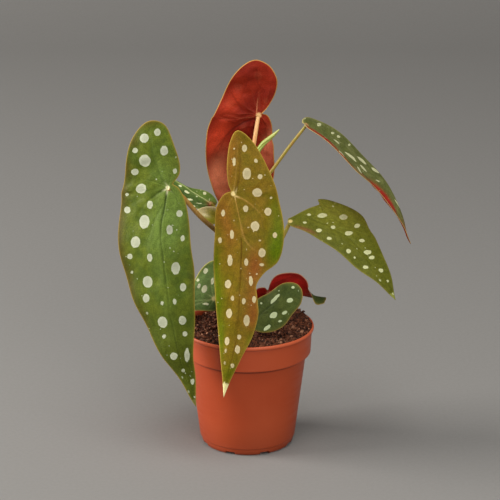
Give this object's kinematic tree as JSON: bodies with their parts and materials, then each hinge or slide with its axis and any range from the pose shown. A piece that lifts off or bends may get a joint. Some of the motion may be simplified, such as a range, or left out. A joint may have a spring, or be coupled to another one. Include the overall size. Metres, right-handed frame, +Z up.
{
  "type": "potted polka dot begonia",
  "caption": "Potted polka dot begonia: angel-wing leaves, pale-spotted above and red beneath, on stalks from upright canes, in a round terracotta-coloured plastic nursery pot.",
  "frame": {"origin": "middle of the pot's flat underside", "axes": "+Z up along the pot's axis, -Y towards the viewer of the picture, +X to the viewer's right"},
  "size_m": [0.2586, 0.1324, 0.3531],
  "materials": {
    "terracotta_plastic": "satin",
    "peat_mix": "matte",
    "cane_skin": "satin",
    "stalk_skin": "satin",
    "green_leaf": "satin",
    "olive_leaf": "satin",
    "bronze_leaf": "satin",
    "red_leaf": "satin",
    "blue_leaf": "satin",
    "stipule": "satin",
    "shoot": "satin"
  },
  "bodies": {
    "root": {"pot": "terracotta_plastic", "soil": "peat_mix", "cane_main": "cane_skin", "cane_side": "cane_skin", "leaf_left_large": "green_leaf", "leaf_front_bronze": "bronze_leaf", "leaf_top_red": "red_leaf", "leaf_upper_right": "green_leaf", "leaf_right": "olive_leaf", "leaf_low_right": "blue_leaf", "leaf_low_left": "blue_leaf", "leaf_behind_left": "green_leaf", "leaf_low_back_red": "red_leaf", "stipule": "stipule", "stalk_left_large": "stalk_skin", "stalk_front_bronze": "stalk_skin", "stalk_top_red": "stalk_skin", "stalk_upper_right": "stalk_skin", "stalk_right": "stalk_skin", "stalk_low_right": "stalk_skin", "stalk_low_left": "stalk_skin", "stalk_behind_left": "stalk_skin", "stalk_low_back_red": "stalk_skin", "growing_tip": "shoot"}
  },
  "joints": []
}
